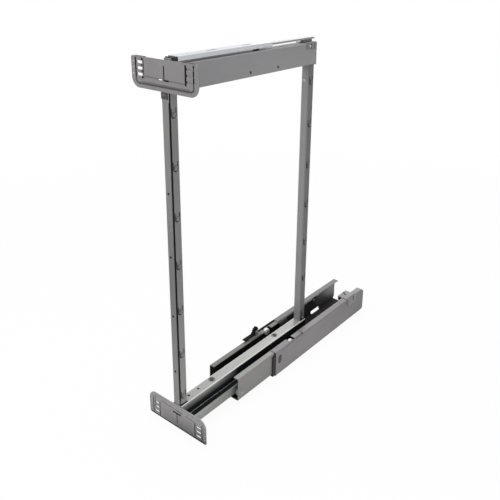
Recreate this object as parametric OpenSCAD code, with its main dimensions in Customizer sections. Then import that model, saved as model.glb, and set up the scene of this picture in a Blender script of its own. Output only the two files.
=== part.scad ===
// Pull out pantry frame on a floor rail, drawn out part of its way.
// X is across the unit, Y runs back into the cabinet, Z is up.
// The origin is the centre of the floor screw pattern, on the underside of the cabinet rail.

/* [Cabinet rail] */
// Length of the cabinet rail
rail_length = 500; // [470:5:560]
// Outside width of the cabinet rail
rail_width = 120; // [114:1:130]
// Outside height of the cabinet rail
rail_height = 80.6; // [76:0.2:90]
// Sheet thickness of the cabinet rail and the middle rail
sheet = 2; // [1.5:0.1:2.5]
// Outside bend radius of the sheet rails
bend_radius = 4; // [3:0.5:6]
// Width of the cabinet rail's top flanges
flange_width = 21; // [18:0.5:23]
// Distance across between the floor screws
floor_screw_x = 64; // [50:1:70]
// Distance along between the floor screws
floor_screw_y = 416; // [320:32:448]
// Diameter of the floor screw holes
floor_hole = 5; // [4:0.5:6]

/* [Middle rail] */
// How much longer the middle rail is than the cabinet rail
middle_over = 31; // [10:1:50]
// Gap between the walls of the two rails
side_gap = 4.3; // [3.5:0.1:5]
// Gap between the floors of the two rails
floor_gap = 6; // [5:0.5:8]
// Width of the middle rail's top flanges
middle_flange = 17; // [15:0.5:19]
// Diameter of the nylon rollers
roller_diameter = 22; // [18:0.5:24]
// Width of the nylon rollers
roller_width = 9.5; // [8:0.5:10]
// Diameter of the roller pins
pin_diameter = 6; // [5:0.5:8]
// Radial running clearance of a roller on its pin
pin_clearance = 0.05; // [0.03:0.01:0.08]
// Diameter of the side guide discs
disc_diameter = 25; // [20:1:28]

/* [Frame] */
// How far the frame is drawn out of the cabinet in the modelled position
drawn_out = 303; // [270:1:320]
// Distance from the front face of the front post to that of the rear post
post_pitch = 524.6; // [500:0.2:560]
// Width and depth of a post
post_size = 23; // [21:0.5:26]
// Wall of a post
post_wall = 2; // [1.5:0.1:2.5]
// Height of the frame, from the cabinet floor to the top of the top box
frame_height = 953; // [850:1:1200]
// Height of the top box
box_height = 59.5; // [50:0.5:70]
// Width of the top box
box_width = 35; // [32:1:40]
// Sheet thickness of the top box
box_sheet = 1.5; // [1.2:0.1:2]
// Distance between the basket hooks of a post
hook_pitch = 123; // [100:1:135]
// How far the lowest point of the top hook lies under the top box
hook_drop = 58; // [40:1:80]
// Width of the bottom rail's top face
frame_rail_width = 32; // [28:1:36]

/* [Front plates] */
// Width of a front plate
plate_width = 207; // [190:1:240]
// Height of a front plate
plate_height = 70; // [66:1:80]
// Thickness of a front plate
plate_sheet = 1.5; // [1.2:0.1:2]
// Height of the bottom plate's lower edge above the cabinet floor
plate_lift = 9; // [5:1:15]
// Distance from a plate's side to the middle of its door slots
slot_side = 26.75; // [22:0.25:30]
// Distance between the rows of door slots
slot_pitch_z = 13.5; // [12:0.5:15]
// Length of a door slot
slot_length = 18.5; // [14:0.5:20]
// Height of a door slot
slot_height = 6.2; // [5:0.2:7]

/* [Top guide] */
// Length of the guide channel that the cabinet's top panel holds
channel_length = 328; // [280:2:340]
// Width of the guide channel
channel_width = 30; // [28:0.5:34]
// Height of the guide channel
channel_height = 11.4; // [10:0.2:13]
// Height of the guide channel over the top box
channel_lift = 5.1; // [4:0.1:6]
// Diameter of the guide's balls
ball_diameter = 3.5; // [3:0.1:4]

/* [Hidden] */
$fn = 48;

// Running gap between pieces that slide past each other
slide_gap = 0.3;
// Small overlap that keeps a cut clean
cut = 1;

// Heights of the two rails
middle_length = rail_length + middle_over;
middle_low = sheet + floor_gap;
middle_top = rail_height - sheet - slide_gap;
middle_width = rail_width - 2 * (sheet + side_gap);
middle_inside = middle_width / 2 - sheet;
middle_mouth = middle_width / 2 - middle_flange;
middle_floor = middle_low + sheet;
middle_ceiling = middle_top - sheet;

// Places along Y in the modelled position
rail_front = -rail_length / 2;
closed_setback = 37;
middle_setback = 10.5;
front = rail_front - closed_setback - drawn_out;
middle_front = rail_front - middle_setback - drawn_out / 2;
middle_rear = middle_front + middle_length;
frame_depth = post_pitch + post_size;
frame_rear = front + frame_depth;

// Rollers of the middle rail, which run under the cabinet rail's flanges
roller_radius = roller_diameter / 2;
pin_radius = pin_diameter / 2;
bore_radius = pin_radius + pin_clearance;
roller_z = middle_top - roller_radius;
roller_outer_x = middle_inside - 0.6;
roller_inner_x = roller_outer_x - roller_width;
mid_roller_y = middle_front + 249;
rear_roller_y = middle_rear - 27;
mid_notch = 15;
rear_notch = 13;
pin_head = 1.2;

// Bottom rail of the frame, a hat profile with turned down lips
frame_rail_top = rail_height - 0.6;
hat_sheet = 2;
hat_foot_half = frame_rail_width / 2 + 2;
hat_height = 33;
hat_flange_top = frame_rail_top - hat_height;
hat_flange_low = hat_flange_top - hat_sheet;
lip_half = middle_mouth + 3.3;
lip_drop = 58;
lip_low = frame_rail_top - lip_drop;
lip_curl = 5;
hat_radius = 3;
frame_rail_length = frame_depth + 1;

// Floor rollers of the frame and the front rollers of the middle rail, under the hat's flanges
floor_roller_gap = 2;
floor_roller_inner = hat_foot_half + 3;
floor_roller_width = lip_half - lip_curl - floor_roller_gap - floor_roller_inner;
floor_roller_radius = 11.6;
frame_roller_y = front + 411;
frame_roller_z = middle_floor + slide_gap + floor_roller_radius;
front_roller_y = middle_front + 17.6;
front_roller_radius = 12.2;
front_roller_z = hat_flange_low - slide_gap - front_roller_radius;
axle_reach = floor_roller_inner + floor_roller_width + 1.5;
axle_bracket_half = hat_foot_half - 6;
axle_bracket_sheet = 2;

// Side guide discs in the mouth of the middle rail
disc_y = middle_front + 17.6;
disc_z = middle_low + 17.4;
disc_gap = 0.3;

// Posts
post_low = frame_rail_top;
post_top = frame_height - box_sheet;
box_low = frame_height - box_height;
front_post_y = front;
rear_post_y = front + post_pitch;
open_seam = [4, 3];
shut_seam = [2.2, 1.3];
front_hole_pitch = 160;
front_hole_drop = 234.5;
front_hole_radius = 2.6;
hook_height = 24;
hook_width = 16;
hook_slit = 2.4;
hook_stand = 4.5;
hook_tip = 13.5;
tongue_width = 7;
tongue_sheet = 1.6;
hook_foot = 15;
hook_count = floor((box_low - hook_drop - post_low - hook_foot) / hook_pitch) + 1;

// Front plates stand before the carriers, and the carriers before the posts
carrier_sheet = 1.5;
plate_y = front - carrier_sheet - plate_sheet;
carrier_y = front - carrier_sheet;
slot_edge = 12.5;
slot_pitch_x = plate_width - 2 * slot_side;
slot_rows = 3;
corner_small = 5;
corner_large = 24;
bar_outer_x = plate_width / 2 - 14.5;
bar_inner_x = slot_pitch_x / 2 - slot_length / 2 - 3;
bar_width = 3;
bar_length = 50;
comb_x = plate_width / 2 - 5;
comb_radius = 1.9;
backing_inner = slot_pitch_x / 2 - slot_length / 2 - 10;
carrier_half = backing_inner - 1.5;
slit_width = 2.4;
slit_drop = 44;
slit_foot = 30;

// Top guide
guide_low = frame_height + channel_lift;
guide_top = guide_low + channel_height;
guide_sheet = 2.2;
guide_front = front + 26;
guide_rear = guide_front + channel_length;
channel_inside = channel_width / 2 - guide_sheet;
ball_radius = ball_diameter / 2;
ball_x = channel_inside - ball_radius - 0.15;
groove_depth = 0.9;
slide_rail_width = 2 * (ball_x - ball_radius + groove_depth);
slide_rail_height = 4.6;
slide_rail_low = guide_low + 3.2;
slide_rail_front = front + 8;
slide_rail_rear = frame_rear + 1;
slide_rail_length = slide_rail_rear - slide_rail_front;
channel_lip = channel_width / 2 - 6.3;
neck_half = 4.5;
cage_length = 73;
cage_front = guide_rear - 22 - cage_length;
ball_z = slide_rail_low + slide_rail_height / 2;
ball_count = 8;
ball_pitch = (cage_length - 10) / (ball_count - 1);
cap_length = 12;
cap_recess = 3;

// Lever on the left flange
lever_x = -rail_width / 2 + 9;
lever_width = 11;
lever_pin_y = rail_front + 38;
lever_pin_z = rail_height + 9.6;
lever_pin_radius = 2;
star_radius = 8;
star_root = 5.6;
star_teeth = 9;
lever_reach = 52;
lever_thick = 3.4;

// An outline in X and Z, drawn as a bar along Y
module along_y(from, length) {
    translate([0, from + length, 0]) rotate([90, 0, 0]) linear_extrude(length) children();
}

// An outline in Y and Z, drawn as a bar along X
module along_x(from, length) {
    translate([from, 0, 0]) rotate([90, 0, 90]) linear_extrude(length) children();
}

// A rectangle with round corners, standing on Z = low and centred on X = 0
module round_rect(width, low, high, radius) {
    translate([-width / 2 + radius, low]) square([width - 2 * radius, high - low]);
    translate([-width / 2, low + radius]) square([width, high - low - 2 * radius]);
    for (sx = [-1, 1], z = [low + radius, high - radius])
        translate([sx * (width / 2 - radius), z]) circle(radius);
}

// A bent sheet trough with inward flanges
module trough_outline(width, low, high, flange) {
    difference() {
        round_rect(width, low, high, bend_radius);
        round_rect(width - 2 * sheet, low + sheet, high - sheet, bend_radius - sheet);
        translate([-width / 2 + flange, high - sheet - cut]) square([width - 2 * flange, sheet + 2 * cut]);
    }
}

// A rod or bore along X between two places
module rod_x(from, to, y, z, radius) {
    translate([from, y, z]) rotate([0, 90, 0]) cylinder(h = to - from, r = radius);
}

// A rod or bore along Y
module rod_y(from, to, x, z, radius) {
    translate([x, to, z]) rotate([90, 0, 0]) cylinder(h = to - from, r = radius);
}

// A rod or bore along Z
module rod_z(from, to, x, y, radius) {
    translate([x, y, from]) cylinder(h = to - from, r = radius);
}

// A slot with round ends
module slot_outline(length, height) {
    square([length - height, height], center = true);
    for (side = [-1, 1]) translate([side * (length - height) / 2, 0]) circle(height / 2);
}

// Both sides of the unit
module both_sides() {
    children();
    mirror([1, 0, 0]) children();
}

// A nylon roller with softened edges, its bore along X
module roller(inner, width, y, z, radius, bore) {
    edge = 1;
    translate([inner, y, z]) rotate([0, 90, 0]) rotate_extrude()
        polygon([[bore, 0], [radius - edge, 0], [radius, edge], [radius, width - edge], [radius - edge, width],
            [bore, width]]);
}

// Cabinet rail: a trough with notched flanges over the rollers and cut corners at the rear
right_notch_front = mid_roller_y - 12;
left_notch_front = lever_pin_y + 16;
notch_rear = mid_roller_y + 51;
wall_inside = rail_width / 2 - sheet;
rear_chamfer = 9;
dimple_y = rail_front + 19;
dimple_z = rail_height - 30;
dimple_tilt = 90;
dimple_length = 28;
dimple_width = 17;
dimple_depth = 0.8;
relief_radius = 4;
bend_slot_front = rail_front + 350;
bend_slot_length = 51;
bend_slot_height = 11;

module flange_notch(side, from, to, top, inner, outer) {
    translate([side > 0 ? inner : -outer, from, top - sheet - cut])
        cube([outer - inner, to - from, sheet + 2 * cut]);
}

module cabinet_rail() {
    color([0.55, 0.54, 0.53]) difference() {
        along_y(rail_front, rail_length) trough_outline(rail_width, 0, rail_height, flange_width);
        flange_notch(1, right_notch_front, notch_rear, rail_height, middle_mouth, wall_inside);
        rod_z(rail_height - sheet - cut, rail_height + cut, wall_inside - relief_radius + 1,
            notch_rear - relief_radius, relief_radius);
        flange_notch(-1, left_notch_front, notch_rear, rail_height, middle_mouth, wall_inside);
        for (z = [0, rail_height])
            translate([-rail_width / 2 - cut, -rail_front, z]) rotate([45, 0, 0])
                translate([0, -rear_chamfer / sqrt(2), -rear_chamfer / sqrt(2)])
                    cube([rail_width + 2 * cut, rear_chamfer * sqrt(2), rear_chamfer * sqrt(2)]);
        for (x = [-1, 1], y = [-1, 1])
            rod_z(-cut, sheet + cut, x * floor_screw_x / 2, y * floor_screw_y / 2, floor_hole / 2);
        // Long slot over the bend of the left wall, and a pressed oval in the right wall
        translate([-rail_width / 2 - cut, bend_slot_front, -cut])
            cube([bend_radius + 2 + cut, bend_slot_length, bend_slot_height + cut]);
        along_x(rail_width / 2 - dimple_depth, dimple_depth + cut) translate([dimple_y, dimple_z]) rotate(dimple_tilt)
            slot_outline(dimple_length, dimple_width);
    }
}

// Black glide liner in the mouth of the cabinet rail, under and beside the middle rail
glide_front = rail_front - 10;
glide_length = 27;
glide_top = rail_height - 11;
module front_glide() {
    color([0.09, 0.09, 0.09]) along_y(glide_front, glide_length) difference() {
        round_rect(rail_width - 2 * sheet, sheet, glide_top + bend_radius, bend_radius - sheet);
        round_rect(middle_width + 2 * slide_gap, middle_low - slide_gap, glide_top + 3 * bend_radius, bend_radius);
        translate([-rail_width / 2, glide_top]) square([rail_width, 3 * bend_radius]);
    }
}

// Saddle clip over the right flange, towards the rear
clip_y = -rail_front - 105;
clip_length = 50;
clip_sheet = 1.6;
clip_inner = 20;
clip_low = rail_height - 25;
clip_radius = 4;
clip_holes = [[5.5, 31], [13.5, 26]];
clip_hole = 2.1;
clip_taper = [5, 9];
clip_taper_height = 7;
clip_slot = [32, 5];
clip_slot_low = rail_height - 15.6;
module rail_clip() {
    outside = rail_width / 2 + clip_sheet;
    top = rail_height + clip_sheet;
    color([0.6, 0.6, 0.58]) difference() {
        along_y(clip_y, clip_length) union() {
            translate([rail_width / 2, clip_low]) square([clip_sheet, top - clip_radius - clip_low]);
            translate([clip_inner, rail_height]) square([outside - clip_radius - clip_inner, clip_sheet]);
            intersection() {
                translate([outside - clip_radius, top - clip_radius]) difference() {
                    circle(clip_radius);
                    circle(clip_radius - clip_sheet);
                }
                translate([outside - clip_radius, top - clip_radius]) square(clip_radius);
            }
        }
        for (hole = clip_holes)
            rod_z(rail_height - cut, top + cut, clip_inner + hole[0], clip_y + hole[1], clip_hole);
        // Tapered foot of the tab, and a slot that runs up into the bend
        along_x(rail_width / 2 - cut, clip_sheet + 2 * cut) {
            polygon([[clip_y - cut, clip_low - cut], [clip_y + clip_taper[0], clip_low - cut],
                [clip_y + clip_taper[0], clip_low], [clip_y, clip_low + clip_taper_height],
                [clip_y - cut, clip_low + clip_taper_height]]);
            translate([clip_y + clip_length, 0]) polygon([[cut, clip_low - cut], [-clip_taper[1], clip_low - cut],
                [-clip_taper[1], clip_low], [0, clip_low + clip_taper_height],
                [cut, clip_low + clip_taper_height]]);
            translate([clip_y + clip_slot[0], clip_slot_low]) square([clip_slot[1], top + cut - clip_slot_low]);
        }
    }
}

// Rubber stop on the floor, which the middle rail's glide meets when the frame is closed
glide_rear = middle_rear - 51;
rear_glide_length = 44;
stop_length = 12;
module rear_stop() {
    stop_y = glide_rear + drawn_out / 2 + slide_gap;
    color([0.08, 0.08, 0.08]) translate([-15, stop_y, sheet]) cube([30, stop_length, floor_gap - 1]);
}

// Bracket with two ears that holds the release lever on the left flange
module lever_bracket() {
    ear = 1.6;
    span = lever_width + 2 * 0.4;
    color([0.5, 0.5, 0.49]) difference() {
        union() {
            translate([lever_x - span / 2 - ear, lever_pin_y - 7, rail_height])
                cube([span + 2 * ear, 14, 0.9]);
            for (side = [-1, 1])
                translate([lever_x + side * (span + ear) / 2 - ear / 2, lever_pin_y, rail_height])
                    along_x(0, ear) union() {
                        translate([-6, 0]) square([12, lever_pin_z - rail_height]);
                        translate([0, lever_pin_z - rail_height]) circle(6);
                    }
        }
        rod_x(lever_x - span, lever_x + span, lever_pin_y, lever_pin_z, lever_pin_radius);
    }
}

module lever_pin() {
    half = lever_width / 2 + 0.4 + 1.6;
    color([0.7, 0.7, 0.7]) union() {
        rod_x(lever_x - half, lever_x + half, lever_pin_y, lever_pin_z, lever_pin_radius);
        for (x = [lever_x - half - 1, lever_x + half])
            rod_x(x, x + 1, lever_pin_y, lever_pin_z, lever_pin_radius + 1);
    }
}

// Black release lever: a toothed head on the pin and an arm along the flange towards the front
module release_lever() {
    teeth = [for (i = [0 : 2 * star_teeth - 1])
        (i % 2 == 0 ? star_root : star_radius) * [cos(180 * i / star_teeth), sin(180 * i / star_teeth)]];
    color([0.07, 0.07, 0.07]) difference() {
        along_x(lever_x - lever_width / 2, lever_width) union() {
            translate([lever_pin_y, lever_pin_z]) polygon(teeth);
            translate([lever_pin_y - lever_reach, rail_height + 1.4]) square([lever_reach - 3, lever_thick]);
            translate([lever_pin_y - lever_reach, rail_height + 1.4 + lever_thick / 2]) circle(lever_thick / 2);
            translate([lever_pin_y - 14, rail_height + 1.4]) square([12, lever_thick + 4]);
        }
        rod_x(lever_x - lever_width, lever_x + lever_width, lever_pin_y, lever_pin_z,
            lever_pin_radius + pin_clearance);
    }
}

// Middle rail: a trough that runs in the cabinet rail, notched over its rollers
module middle_rail() {
    color([0.56, 0.56, 0.55]) difference() {
        along_y(middle_front, middle_length) trough_outline(middle_width, middle_low, middle_top, middle_flange);
        for (side = [-1, 1]) {
            flange_notch(side, mid_roller_y - mid_notch, mid_roller_y + mid_notch, middle_top, middle_mouth - cut,
                middle_width / 2 + cut);
            flange_notch(side, rear_roller_y - rear_notch, rear_roller_y + rear_notch, middle_top,
                middle_mouth - cut, middle_inside);
        }
        for (y = [mid_roller_y, rear_roller_y])
            rod_x(-middle_width, middle_width, y, roller_z, pin_radius);
        rod_x(-middle_width, middle_width, disc_y, disc_z, pin_radius);
        for (y = [-rivet_pitch / 2, rivet_pitch / 2])
            rod_z(middle_low - cut, middle_floor + cut, 0, front_roller_y + y, rivet_radius);
        translate([-middle_width, middle_rear - rear_cut, 0])
            cube([2 * middle_width, rear_cut + cut, middle_low + rear_cut_height]);
    }
}
rear_cut = 27;
rear_cut_height = 12;

// Pins that carry the rollers of the middle rail, flush with its walls
module middle_roller_pins() {
    color([0.72, 0.72, 0.72]) both_sides() for (y = [mid_roller_y, rear_roller_y]) {
        rod_x(roller_inner_x - 0.3, middle_width / 2, y, roller_z, pin_radius);
        rod_x(roller_inner_x - 0.3 - pin_head, roller_inner_x - 0.3, y, roller_z, pin_radius + 1.5);
    }
}

module middle_roller(side, y, shade) {
    inner = side > 0 ? roller_inner_x : -roller_outer_x;
    color(shade) roller(inner, roller_width, y, roller_z, roller_radius - 0.05, bore_radius);
}
white_nylon = [0.93, 0.93, 0.92];
black_nylon = [0.1, 0.1, 0.1];
module mid_roller_left() { middle_roller(-1, mid_roller_y, white_nylon); }
module mid_roller_right() { middle_roller(1, mid_roller_y, white_nylon); }
module rear_roller_left() { middle_roller(-1, rear_roller_y, black_nylon); }
module rear_roller_right() { middle_roller(1, rear_roller_y, black_nylon); }

// A cross axle with a head at each end
module cross_axle(y, z) {
    color([0.72, 0.72, 0.72]) union() {
        rod_x(-axle_reach + 1, axle_reach - 1, y, z, pin_radius);
        for (x = [-axle_reach, axle_reach - 1])
            rod_x(x, x + 1, y, z, pin_radius + 1.4);
    }
}

// A roller on a cross axle, under one flange of the hat profile
module axle_roller(side, y, z, radius) {
    inner = side > 0 ? floor_roller_inner : -floor_roller_inner - floor_roller_width;
    color(white_nylon) roller(inner, floor_roller_width, y, z, radius, bore_radius);
}

module front_axle() { cross_axle(front_roller_y, front_roller_z); }
module front_roller_left() { axle_roller(-1, front_roller_y, front_roller_z, front_roller_radius); }
module front_roller_right() { axle_roller(1, front_roller_y, front_roller_z, front_roller_radius); }

// U bracket on the middle rail's floor that holds the front cross axle
module front_axle_bracket() {
    color([0.5, 0.5, 0.5]) difference() {
        union() {
            translate([-axle_bracket_half, front_roller_y - 10, middle_floor])
                cube([2 * axle_bracket_half, 20, axle_bracket_sheet]);
            for (x = [-axle_bracket_half, axle_bracket_half - axle_bracket_sheet])
                along_x(x, axle_bracket_sheet) union() {
                    translate([front_roller_y - 7, middle_floor]) square([14, front_roller_z - middle_floor]);
                    translate([front_roller_y, front_roller_z]) circle(7);
                }
        }
        rod_x(-axle_reach, axle_reach, front_roller_y, front_roller_z, pin_radius);
        for (y = [-rivet_pitch / 2, rivet_pitch / 2])
            rod_z(middle_floor - cut, middle_floor + axle_bracket_sheet + cut, 0, front_roller_y + y, rivet_radius);
    }
}

// Rivets that hold the bracket to the floor of the middle rail
rivet_pitch = 12;
rivet_radius = 2;
module bracket_rivets() {
    color([0.72, 0.72, 0.72]) for (y = [-rivet_pitch / 2, rivet_pitch / 2]) {
        rod_z(middle_low, middle_floor + axle_bracket_sheet, 0, front_roller_y + y, rivet_radius);
        rod_z(middle_floor + axle_bracket_sheet, middle_floor + axle_bracket_sheet + 1.2, 0, front_roller_y + y,
            rivet_radius + 1.5);
    }
}

// Nylon discs on the inside of the middle rail's mouth, which guide the frame's lips
module side_guide_discs() {
    inner = lip_half + disc_gap;
    color([0.75, 0.75, 0.73]) both_sides() union() {
        rod_x(inner, middle_inside, disc_y, disc_z, disc_diameter / 2);
        rod_x(middle_inside, middle_width / 2, disc_y, disc_z, pin_radius);
    }
}

// Glide under the rear of the middle rail
module rear_floor_glide() {
    color([0.1, 0.1, 0.1]) translate([-40, glide_rear - rear_glide_length, sheet + slide_gap])
        cube([80, rear_glide_length, floor_gap - slide_gap]);
}

// Bottom rail of the frame, a hat profile with lips that turn down and in
module hat_outline() {
    difference() {
        union() {
            polygon([[-hat_foot_half, hat_flange_low], [hat_foot_half, hat_flange_low],
                [frame_rail_width / 2, frame_rail_top - hat_radius], [-frame_rail_width / 2,
                frame_rail_top - hat_radius]]);
            round_rect(frame_rail_width, frame_rail_top - 3 * hat_radius, frame_rail_top, hat_radius);
            translate([-lip_half + lip_curl, hat_flange_low]) square([2 * (lip_half - lip_curl), hat_sheet]);
        }
        polygon([[-hat_foot_half + hat_sheet, hat_flange_low - cut], [hat_foot_half - hat_sheet,
            hat_flange_low - cut], [frame_rail_width / 2 - hat_sheet, frame_rail_top - hat_radius],
            [-frame_rail_width / 2 + hat_sheet, frame_rail_top - hat_radius]]);
        round_rect(frame_rail_width - 2 * hat_sheet, frame_rail_top - 3 * hat_radius, frame_rail_top - hat_sheet,
            hat_radius - hat_sheet);
    }
    for (side = [-1, 1]) {
        translate([side * (lip_half - hat_sheet / 2) - hat_sheet / 2, lip_low + lip_curl])
            square([hat_sheet, hat_flange_top - lip_low - 2 * lip_curl]);
        for (z = [lip_low + lip_curl, hat_flange_top - lip_curl])
            difference() {
                translate([side * (lip_half - lip_curl), z]) circle(lip_curl);
                translate([side * (lip_half - lip_curl), z]) circle(lip_curl - hat_sheet);
                translate([side * (lip_half - 2 * lip_curl) - lip_curl, z - lip_curl])
                    square([2 * lip_curl, 2 * lip_curl]);
                translate([side * (lip_half - lip_curl) - lip_curl, z > lip_low + lip_curl ? z - 2 * lip_curl : z])
                    square([2 * lip_curl, 2 * lip_curl]);
            }
    }
}

hole_places = [44, 79.6];
rail_hole = 3.6;
rail_hole_x = -3;
screw_places = [131.6, 411];
rail_screw = 3;
rail_screw_x = -2;
module frame_rail() {
    color([0.62, 0.62, 0.61]) difference() {
        along_y(front, frame_rail_length) hat_outline();
        for (y = hole_places)
            rod_z(frame_rail_top - 2 * hat_sheet, frame_rail_top + cut, rail_hole_x, front + y, rail_hole);
        for (y = screw_places)
            rod_z(frame_rail_top - 2 * hat_sheet, frame_rail_top + cut, rail_screw_x, front + y, rail_screw);
        for (y = foot_screw_places)
            rod_z(frame_rail_top - 2 * hat_sheet, frame_rail_top + cut, 0, y, 2);
    }
}

// Screws in the top face of the bottom rail, into a nut plate and into the axle bracket
module rail_screws() {
    color([0.16, 0.17, 0.17]) for (y = screw_places) {
        rod_z(frame_rail_top - 12, frame_rail_top, rail_screw_x, front + y, rail_screw);
        rod_z(frame_rail_top, frame_rail_top + 1.8, rail_screw_x, front + y, rail_screw + 2.5);
    }
}

module nut_plate() {
    color([0.5, 0.5, 0.5]) difference() {
        translate([-axle_bracket_half, front + screw_places[0] - 10, frame_rail_top - hat_sheet - 3])
            cube([2 * axle_bracket_half, 20, 3]);
        rod_z(0, frame_rail_top, rail_screw_x, front + screw_places[0], rail_screw);
    }
}

// Nylon shoes at the rear of the bottom rail, which press up under the middle rail's flanges
shoe_front = front + 480;
shoe_length = 38;
module rear_shoes() {
    color([0.1, 0.1, 0.1]) both_sides() along_y(shoe_front, shoe_length) polygon([
        [hat_foot_half, hat_flange_top], [lip_half - 0.4, hat_flange_top],
        [lip_half - 0.4, middle_ceiling - slide_gap],
        [middle_mouth - 4, middle_ceiling - slide_gap], [hat_foot_half + 4, hat_flange_top + 9]]);
}

module frame_axle() { cross_axle(frame_roller_y, frame_roller_z); }
module frame_roller_left() { axle_roller(-1, frame_roller_y, frame_roller_z, floor_roller_radius); }
module frame_roller_right() { axle_roller(1, frame_roller_y, frame_roller_z, floor_roller_radius); }

// Hanging bracket inside the hat profile that holds the frame's cross axle
module frame_axle_bracket() {
    top = frame_rail_top - hat_sheet;
    color([0.5, 0.5, 0.5]) difference() {
        union() {
            translate([-axle_bracket_half, frame_roller_y - 10, top - axle_bracket_sheet])
                cube([2 * axle_bracket_half, 20, axle_bracket_sheet]);
            for (x = [-axle_bracket_half, axle_bracket_half - axle_bracket_sheet])
                along_x(x, axle_bracket_sheet) union() {
                    translate([frame_roller_y - 7, frame_roller_z]) square([14, top - frame_roller_z]);
                    translate([frame_roller_y, frame_roller_z]) circle(7);
                }
        }
        rod_x(-axle_reach, axle_reach, frame_roller_y, frame_roller_z, pin_radius);
        rod_z(top - 2 * axle_bracket_sheet, top + cut, rail_screw_x, frame_roller_y, rail_screw);
    }
}

// Round footed outline in Y and Z from a hook's lowest point, inset from the outside of its slit
module hook_shape(inset, top) {
    radius = hook_width / 2 - inset;
    translate([-radius, hook_width / 2]) square([2 * radius, top - hook_width / 2]);
    translate([0, hook_width / 2]) circle(radius);
}

// U shaped slit round the flap of a hook, which stays joined to the wall at its top
module hook_slit_outline() {
    difference() {
        hook_shape(0, hook_height);
        hook_shape(hook_slit, hook_height + cut);
    }
}

// Tongue of a hook on the right wall, joined to the foot of its flap and leaning out to its free end
module tongue() {
    face = post_size / 2;
    root = [face - tongue_sheet / 8, hook_slit + 1];
    along_y(-tongue_width / 2, tongue_width) polygon([root, [face + 0.75 * tongue_sheet, root[1] + 0.2],
        [face + hook_stand, hook_tip], [face + hook_stand - tongue_sheet, hook_tip],
        [root[0], root[1] + 2.25 * tongue_sheet]]);
}

function hook_z(i) = box_low - hook_drop - i * hook_pitch;

// A post: a rolled square tube whose edges meet at a stepped corner, with its hooks
module post(y, seam) {
    half = post_size / 2;
    difference() {
        translate([0, y + half, post_low]) linear_extrude(post_top - post_low) difference() {
            square(post_size, center = true);
            square(post_size - 2 * post_wall, center = true);
            translate([half - seam[0], -half - cut]) square([seam[0] + cut, seam[1] + cut]);
        }
        for (i = [0 : hook_count - 1])
            translate([0, y + half, hook_z(i)]) along_x(-post_size, 2 * post_size) hook_slit_outline();
    }
    for (side = [0, 1], i = [0 : hook_count - 1])
        mirror([side, 0, 0]) translate([0, y + half, hook_z(i)]) tongue();
}

module front_post() {
    color([0.5, 0.5, 0.49]) difference() {
        post(front_post_y, open_seam);
        for (i = [0 : 3])
            rod_y(front_post_y - cut, front_post_y + post_wall + cut, -3, box_low - front_hole_drop
                - i * front_hole_pitch, front_hole_radius);
    }
}
module rear_post() {
    color([0.5, 0.5, 0.49]) difference() {
        post(rear_post_y, shut_seam);
        rod_y(rear_post_y - cut, rear_post_y + post_wall + cut, bolt_x, bolt_z, bolt_hole);
    }
}

// Round headed bolt in the front of the rear post, off the middle of its hole
bolt_x = -2;
bolt_z = box_low - 46;
bolt_hole = 4.4;
module rear_post_bolt() {
    color([0.85, 0.85, 0.85]) {
        rod_y(rear_post_y - 1.2, rear_post_y + post_wall, bolt_x - 1, bolt_z + 1, bolt_hole - 1.6);
        rod_y(rear_post_y + post_wall, rear_post_y + post_wall + 1.5, bolt_x, bolt_z, bolt_hole + 2);
    }
}

// Black bracket that ties the rear post to the bottom rail, outside on the right, with its screw
bracket_height = 14.5;
tie_screw_y = rear_post_y + 13;
tie_screw_z = post_low + 9;
module foot_bracket() {
    face = post_size / 2;
    color([0.08, 0.08, 0.08]) difference() {
        along_y(rear_post_y + 3, post_size - 3) union() {
            translate([face, post_low]) square([2, bracket_height]);
            translate([face, post_low]) square([frame_rail_width / 2 - hat_radius - face + 1, 2]);
        }
        rod_x(face - cut, face + 2 + cut, tie_screw_y, tie_screw_z, 2.5);
    }
}

// Foot of a post: a sleeve inside the tube on a plate that is screwed to the bottom rail
foot_height = 16;
foot_screw_places = [front_post_y + post_size / 2, rear_post_y + post_size / 2];
foot_sheet = 2.5;
module post_foot(y) {
    inner = post_size / 2 - post_wall;
    color([0.45, 0.45, 0.44]) translate([0, y + post_size / 2, post_low]) difference() {
        linear_extrude(foot_height) square(2 * inner, center = true);
        translate([0, 0, foot_sheet]) linear_extrude(foot_height) square(2 * (inner - foot_sheet), center = true);
        translate([0, 0, -cut]) cylinder(h = foot_sheet + 2 * cut, r = 2);
    }
}
module front_post_foot() { post_foot(front_post_y); }
module rear_post_foot() { post_foot(rear_post_y); }

// Screws up through the bottom rail into the feet
module foot_screws() {
    color([0.7, 0.7, 0.7]) for (y = foot_screw_places) {
        rod_z(frame_rail_top - hat_sheet, frame_rail_top + foot_sheet + 6, 0, y, 2);
        rod_z(frame_rail_top - hat_sheet - 2.4, frame_rail_top - hat_sheet, 0, y, 4);
    }
    color([0.7, 0.7, 0.7]) {
        rod_x(post_size / 2, post_size / 2 + 2, tie_screw_y, tie_screw_z, 2.5);
        rod_x(post_size / 2 + 2, post_size / 2 + 3.8, tie_screw_y, tie_screw_z, 4);
    }
}

// Spacer blocks on both sides of a post's head inside the top box
head_height = 44;
module post_head(y) {
    inner = post_size / 2;
    outer = box_width / 2 - box_sheet;
    color([0.4, 0.4, 0.4]) both_sides()
        translate([inner, y + 1.5, box_low + 8]) cube([outer - inner, post_size - 3, head_height]);
}
module front_post_head() { post_head(front_post_y); }
module rear_post_head() { post_head(rear_post_y); }

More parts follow.
